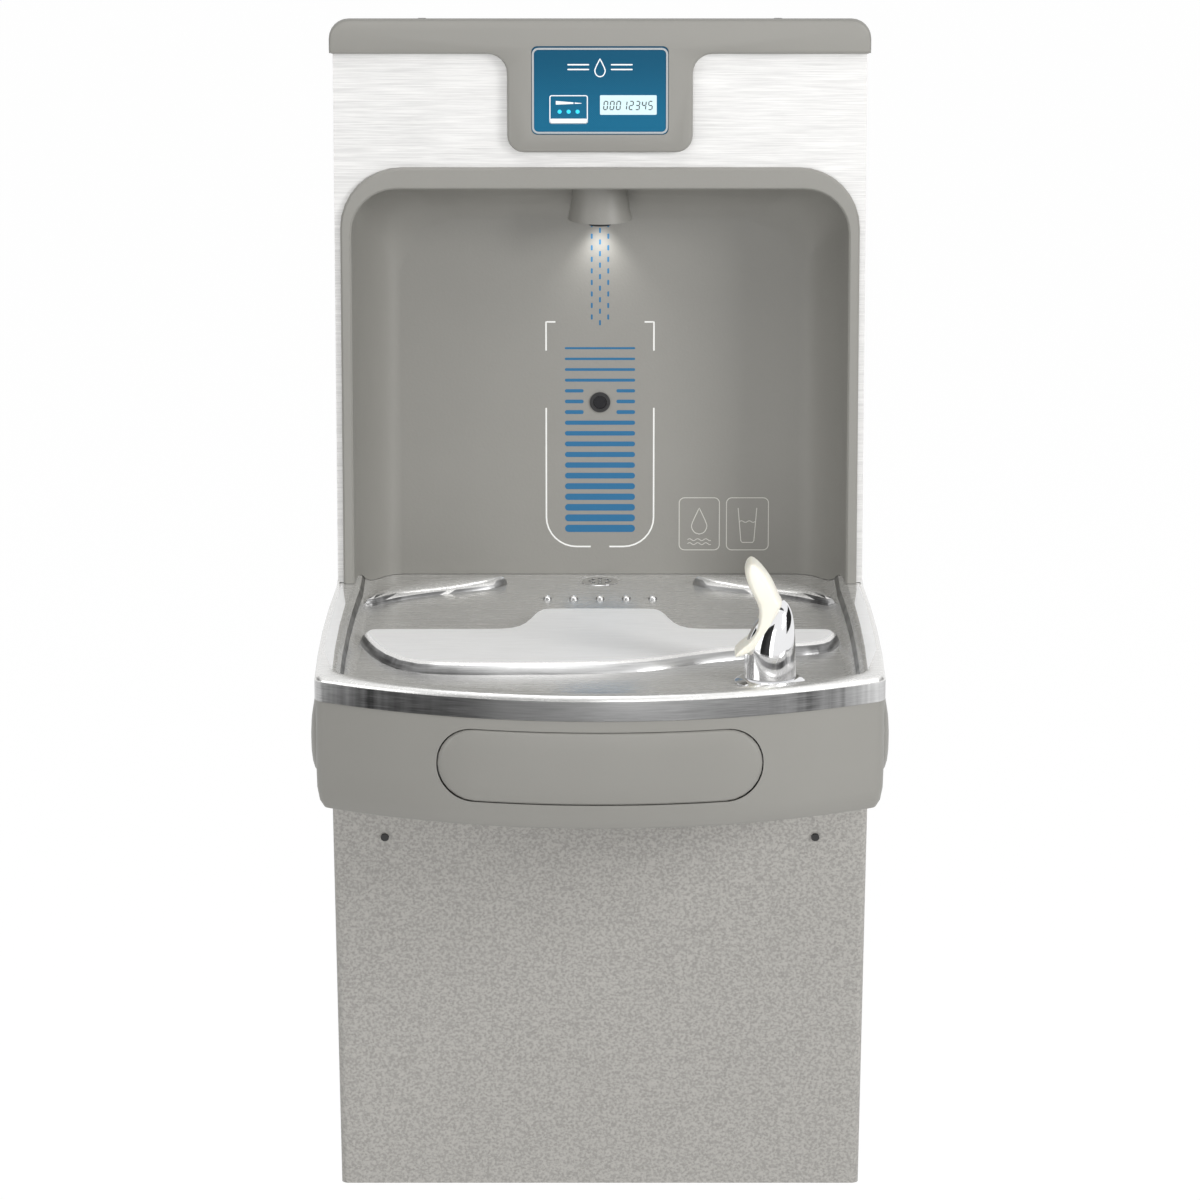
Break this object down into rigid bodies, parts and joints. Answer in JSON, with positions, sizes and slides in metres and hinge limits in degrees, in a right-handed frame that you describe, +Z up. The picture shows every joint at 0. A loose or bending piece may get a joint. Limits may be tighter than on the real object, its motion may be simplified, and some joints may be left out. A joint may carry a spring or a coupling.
{
  "type": "bottle filling station",
  "caption": "Wall-hung bottle filling station: recessed filler alcove with a nozzle and a display above a steel drinking basin with a bubbler, push bars and a cooled cabinet.",
  "frame": {"origin": "centre of the four wall bolts, in the wall plane", "axes": "+X right as seen from the front, +Y into the wall, +Z up"},
  "size_m": [0.4666, 0.4826, 1.0017],
  "materials": {
    "galvanised": "satin zinc-coated sheet",
    "vinyl_steel": "satin grey vinyl-clad sheet with a fine grain",
    "black_steel": "black enamel",
    "stainless": "brushed stainless, grain across",
    "panel_steel": "brushed stainless, horizontal grain",
    "chrome": "polished chrome plate",
    "ivory_rubber": "flexible ivory polymer",
    "black_rubber": "matte",
    "grey_plastic": "satin moulded plastic",
    "bar_plastic": "satin moulded plastic",
    "alcove_plastic": "fine-grained moulded plastic",
    "black_plastic": "black moulded plastic",
    "black_gloss": "gloss black",
    "white_plastic": "white moulded plastic",
    "white_tube": "food-grade polyethylene tube",
    "display_blue": "blue tinted gloss window",
    "circuit_green": "circuit board",
    "light_diffuser": "milky diffuser",
    "box_plastic": "grey moulded plastic",
    "spring_wire": "spring wire",
    "foam": "foam jacket",
    "copper": "bare copper tube",
    "brass": "bare brass"
  },
  "bodies": {
    "station": {"back_panel": "galvanised", "cabinet_frame": "galvanised", "bottom_plate": "galvanised", "lower_shroud": "vinyl_steel", "shroud_screws": "black_steel", "basin": "stainless", "drain_strainer": "chrome", "drain_body": "galvanised", "drain_nut": "galvanised", "bubbler_foot": "chrome", "bubbler_tower": "chrome", "bubbler_guard": "ivory_rubber", "bubbler_locknut": "galvanised", "apron": "grey_plastic", "bar_bracket": "galvanised", "front_bar_springs": "spring_wire", "left_bar_springs": "spring_wire", "right_bar_springs": "spring_wire", "bar_switches": "black_plastic", "filler_back_plate": "galvanised", "filler_wrapper": "panel_steel", "top_cap": "grey_plastic", "cap_screws": "black_steel", "display_lens": "display_blue", "display_board": "circuit_green", "alcove_shell": "alcove_plastic", "fill_nozzle": "black_plastic", "nozzle_light": "light_diffuser", "sensor_bezel": "black_plastic", "sensor_window": "black_gloss", "sensor_module": "circuit_green", "control_box": "box_plastic", "solenoid_valves": "white_plastic", "filler_tube": "white_tube", "bubbler_tube": "white_tube", "compressor": "black_steel", "compressor_grommets": "black_rubber", "start_relay": "black_plastic", "condenser": "black_steel", "fan_shroud": "galvanised", "fan_motor": "black_steel", "cold_tank": "foam", "thermostat": "box_plastic", "refrigerant_lines": "copper", "filter_head": "box_plastic", "inlet_union": "brass", "supply_tubes": "white_tube", "power_inlet": "black_rubber"},
    "front_bar": {"front_push_bar": "bar_plastic"},
    "left_bar": {"left_push_bar": "bar_plastic"},
    "right_bar": {"right_push_bar": "bar_plastic"},
    "front_switch_plunger": {"front_plunger": "white_plastic"},
    "left_switch_plunger": {"left_plunger": "white_plastic"},
    "right_switch_plunger": {"right_plunger": "white_plastic"},
    "fan": {"fan_blade": "white_plastic"},
    "filter": {"filter_cartridge": "white_plastic"}
  },
  "joints": [
    {"name": "front_bar_press", "type": "slide", "parent": "station", "child": "front_bar", "axis": [0, 1, 0], "range_m": [0, 0.005], "stiffness_N_per_m": 900, "deforming": ["front_bar_springs"]},
    {"name": "left_bar_press", "type": "slide", "parent": "station", "child": "left_bar", "axis": [1, 0, 0], "range_m": [0, 0.005], "stiffness_N_per_m": 900, "deforming": ["left_bar_springs"]},
    {"name": "right_bar_press", "type": "slide", "parent": "station", "child": "right_bar", "axis": [-1, 0, 0], "range_m": [0, 0.005], "stiffness_N_per_m": 900, "deforming": ["right_bar_springs"]},
    {"name": "front_plunger_slide", "type": "slide", "parent": "station", "child": "front_switch_plunger", "axis": [0, 1, 0], "range_m": [0, 0.005]},
    {"name": "left_plunger_slide", "type": "slide", "parent": "station", "child": "left_switch_plunger", "axis": [1, 0, 0], "range_m": [0, 0.005]},
    {"name": "right_plunger_slide", "type": "slide", "parent": "station", "child": "right_switch_plunger", "axis": [-1, 0, 0], "range_m": [0, 0.005]},
    {"name": "fan_spin", "type": "hinge", "parent": "station", "child": "fan", "pos_m": [0.124, -0.079, -0.241], "axis": [1, 0, 0], "continuous": true},
    {"name": "filter_turn", "type": "hinge", "parent": "station", "child": "filter", "pos_m": [0.135, -0.12, -0.035], "axis": [0, 0, -1], "range_deg": [0, 90]}
  ],
  "couplings": [
    {"joint": "front_plunger_slide", "follows": "front_bar_press", "ratio": 1},
    {"joint": "left_plunger_slide", "follows": "left_bar_press", "ratio": 1},
    {"joint": "right_plunger_slide", "follows": "right_bar_press", "ratio": 1}
  ]
}
